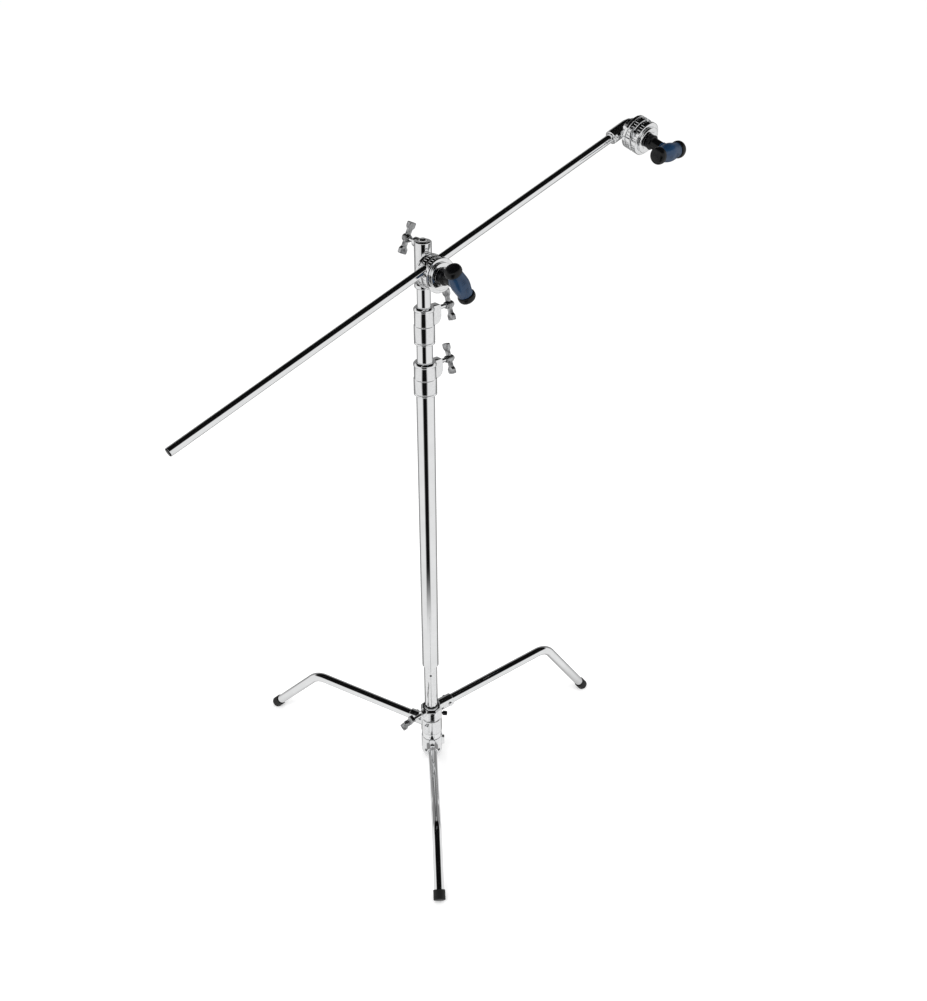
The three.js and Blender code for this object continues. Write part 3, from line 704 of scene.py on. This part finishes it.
def build():
    tubes()
    legs()
    spigot()
    collar("lower_collar", COLUMN_TOP - 39, COLUMN_TOP + 28, 40, COLUMN_RADIUS, RISER_1_RADIUS)
    collar("upper_collar", RISER_1_TOP - 43, RISER_1_TOP + 29, 44, RISER_1_RADIUS, RISER_2_RADIUS)
    top()
    for prefix, place, jaws, angle in (("head", HEAD_FRAME, JAW_FRAME, 30),
                                       ("far", FAR_FRAME, FAR_JAW_FRAME, -20)):
        jaw(f"{prefix}_inner_jaw", JAW_START, jaws)
        jaw(f"{prefix}_outer_jaw", JAW_START + JAW_THICK + JAW_SPLIT, jaws)
        knob(prefix, place, angle, stack(prefix, place))
    for node in ("hub_casting", "left_leg_knuckle", "front_leg_knuckle", "head_body", "far_body"):
        cast(node, 0.6, 5)
    for node in ("base_clamp_wing", "lower_clamp_wing", "upper_clamp_wing", "receiver_wing"):
        wing = cast(node, 0.45, 10)
        # the wings get the darkened chrome with painted reflections in place of their cast chrome slot's
        # look
        wing.data.materials[0] = LOOKS["wing_painted_reflection"]
    for node in ("knuckle_spacer", "hub_retaining_nut", "hub_set_screw", "right_leg_pin",
                 "left_leg_pin", "front_leg_pin"):
        refined(node)


# ---------------------------------------------------------------- studio
# White for the camera. Mirrored rays meet bright surroundings with a dark ceiling, a dark wedge of
# floor in front of the stand and a greyer back, which show as the black bands and thin edge lines
# on the chrome.
WHITE = 1.0                      # of the surroundings, seen by the camera
AMBIENT = 0.85                   # of the surroundings, as light on rough surfaces
BRIGHT = 0.80                    # of the surroundings, in mirrored rays
DARK = 0.004
BEHIND = 0.3                     # share of the mirrored brightness that is left behind the stand
CEILING = (0.40, 0.60)           # sines of the elevations between which the dark ceiling starts
REAR = (0.35, 0.75)              # y of the directions between which the surroundings turn grey
REAR_FLOOR = (105, 135)          # degrees from the front between which the floor turns grey
WEDGE_HEADING = -8               # degrees of the dark wedge's middle, from the front towards +X
WEDGE_HALF = (14, 38)            # degrees between which the wedge fades out on each side
WEDGE_START = (0.25, 0.8)        # metres from the column between which the wedge fades in
FLOOR_COLOUR = (0.93, 0.93, 0.93, 1)
FLOOR_GLOW = 0.22
FLOOR_REACH = 40.0
CAMERA_BACK, CAMERA_HEIGHT = 1.966, 1.833
CAMERA_PITCH, CAMERA_PAN = 30.683, 2.071
LENS, SENSOR = 41.61, 36.0


def value_chain(tree, start, steps):
    """Runs a value through math nodes: (operation, second value or socket) pairs."""
    value = start
    for operation, second in steps:
        made = tree.nodes.new("ShaderNodeMath")
        made.operation = operation
        tree.links.new(value, made.inputs[0])
        if isinstance(second, bpy.types.NodeSocket):
            tree.links.new(second, made.inputs[1])
        elif second is not None:
            made.inputs[1].default_value = second
        value = made.outputs[0]
    return value


def smooth_step(tree, value, start, end, low, high):
    made = tree.nodes.new("ShaderNodeMapRange")
    made.interpolation_type = "SMOOTHSTEP"
    tree.links.new(value, made.inputs["Value"])
    for key, number in (("From Min", start), ("From Max", end), ("To Min", low), ("To Max", high)):
        made.inputs[key].default_value = number
    return made.outputs[0]


def world():
    scene = bpy.context.scene
    scene.world = bpy.data.worlds.new("studio")
    scene.world.use_nodes = True
    tree = scene.world.node_tree
    background = tree.nodes["Background"]
    path = tree.nodes.new("ShaderNodeLightPath")
    split = tree.nodes.new("ShaderNodeSeparateXYZ")
    tree.links.new(tree.nodes.new("ShaderNodeTexCoord").outputs["Generated"], split.inputs[0])
    wall = smooth_step(tree, split.outputs["Z"], *CEILING, BRIGHT, DARK)
    behind = smooth_step(tree, split.outputs["Y"], *REAR, 1.0, BEHIND)
    ceiling = value_chain(tree, wall, [("MULTIPLY", behind)])
    mirrored = tree.nodes.new("ShaderNodeMix")
    tree.links.new(path.outputs["Is Glossy Ray"], mirrored.inputs["Factor"])
    mirrored.inputs["A"].default_value = AMBIENT
    tree.links.new(ceiling, mirrored.inputs["B"])
    seen = tree.nodes.new("ShaderNodeMix")
    tree.links.new(path.outputs["Is Camera Ray"], seen.inputs["Factor"])
    tree.links.new(mirrored.outputs["Result"], seen.inputs["A"])
    seen.inputs["B"].default_value = WHITE
    tree.links.new(seen.outputs["Result"], background.inputs["Strength"])
    background.inputs["Color"].default_value = (1, 1, 1, 1)


def floor():
    m = Nodes("pale_floor")
    tree = m.tree
    m.set(Base_Color=FLOOR_COLOUR, Roughness=0.9)
    m.shader.inputs["Specular IOR Level"].default_value = 0.0
    m.shader.inputs["Emission Color"].default_value = (1, 1, 1, 1)
    m.shader.inputs["Emission Strength"].default_value = FLOOR_GLOW
    # heading is measured round the column, from the front towards +X
    place = tree.nodes.new("ShaderNodeSeparateXYZ")
    tree.links.new(tree.nodes.new("ShaderNodeNewGeometry").outputs["Position"], place.inputs[0])
    x = value_chain(tree, place.outputs["X"], [("SUBTRACT", COLUMN.x)])
    y = value_chain(tree, place.outputs["Y"], [("SUBTRACT", COLUMN.y), ("MULTIPLY", -1.0)])
    heading = value_chain(tree, x, [("ARCTAN2", y)])
    aside = value_chain(tree, heading, [("SUBTRACT", math.radians(WEDGE_HEADING)), ("ABSOLUTE", None)])
    off = smooth_step(tree, aside, *map(math.radians, WEDGE_HALF), 0, 1)
    squares = value_chain(tree, x, [("MULTIPLY", x), ("ADD", value_chain(tree, y, [("MULTIPLY", y)]))])
    near = smooth_step(tree, value_chain(tree, squares, [("SQRT", None)]), *WEDGE_START, 1, 0)
    open_floor = value_chain(tree, off, [("MAXIMUM", near)])
    bare = smooth_step(tree, open_floor, 0, 1, DARK, BRIGHT)
    turned_away = value_chain(tree, heading, [("ABSOLUTE", None)])
    back = smooth_step(tree, turned_away, *map(math.radians, REAR_FLOOR), 1.0, BEHIND)
    level = value_chain(tree, bare, [("MULTIPLY", back)])
    glow = m.node("ShaderNodeEmission", {"Color": (1, 1, 1, 1), "Strength": level})
    mix = m.node("ShaderNodeMixShader", {
        0: m.node("ShaderNodeLightPath").outputs["Is Glossy Ray"],
        1: m.shader.outputs[0],
        2: glow.outputs[0],
    })
    m.put(m.output.inputs["Surface"], mix.outputs[0])
    reach = FLOOR_REACH
    mesh = bpy.data.meshes.new("floor")
    mesh.from_pydata([(-reach, -reach, 0), (reach, -reach, 0), (reach, reach, 0), (-reach, reach, 0)],
                     [], [(0, 1, 2, 3)])
    mesh.materials.append(m.material)
    made = bpy.data.objects.new("floor", mesh)
    bpy.context.scene.collection.objects.link(made)


def softbox(name, place, target, size, power):
    light = bpy.data.lights.new(name, "AREA")
    light.shape = "RECTANGLE"
    light.size, light.size_y = size
    light.energy = power
    made = bpy.data.objects.new(name, light)
    made.location = place
    made.rotation_euler = (Vector(target) - Vector(place)).to_track_quat("-Z", "Y").to_euler()
    made.visible_glossy = False
    bpy.context.scene.collection.objects.link(made)


def studio():
    world()
    floor()
    softbox("key_light", (-1.6, -1.8, 3.0), (0, 0, 0.7), (1.6, 1.6), 40)
    softbox("fill_light", (2.2, -0.6, 2.4), (0, 0, 0.7), (1.4, 1.4), 15)


def camera():
    data = bpy.data.cameras.new("camera")
    data.sensor_width = SENSOR
    data.lens = LENS
    made = bpy.data.objects.new("camera", data)
    made.location = (COLUMN.x, COLUMN.y - CAMERA_BACK, CAMERA_HEIGHT)
    made.rotation_euler = (math.radians(90 - CAMERA_PITCH), 0, math.radians(-CAMERA_PAN))
    bpy.context.scene.collection.objects.link(made)
    bpy.context.scene.camera = made


bpy.context.scene.view_settings.view_transform = "Standard"
camera()
studio()
dress_cad_nodes()
build()
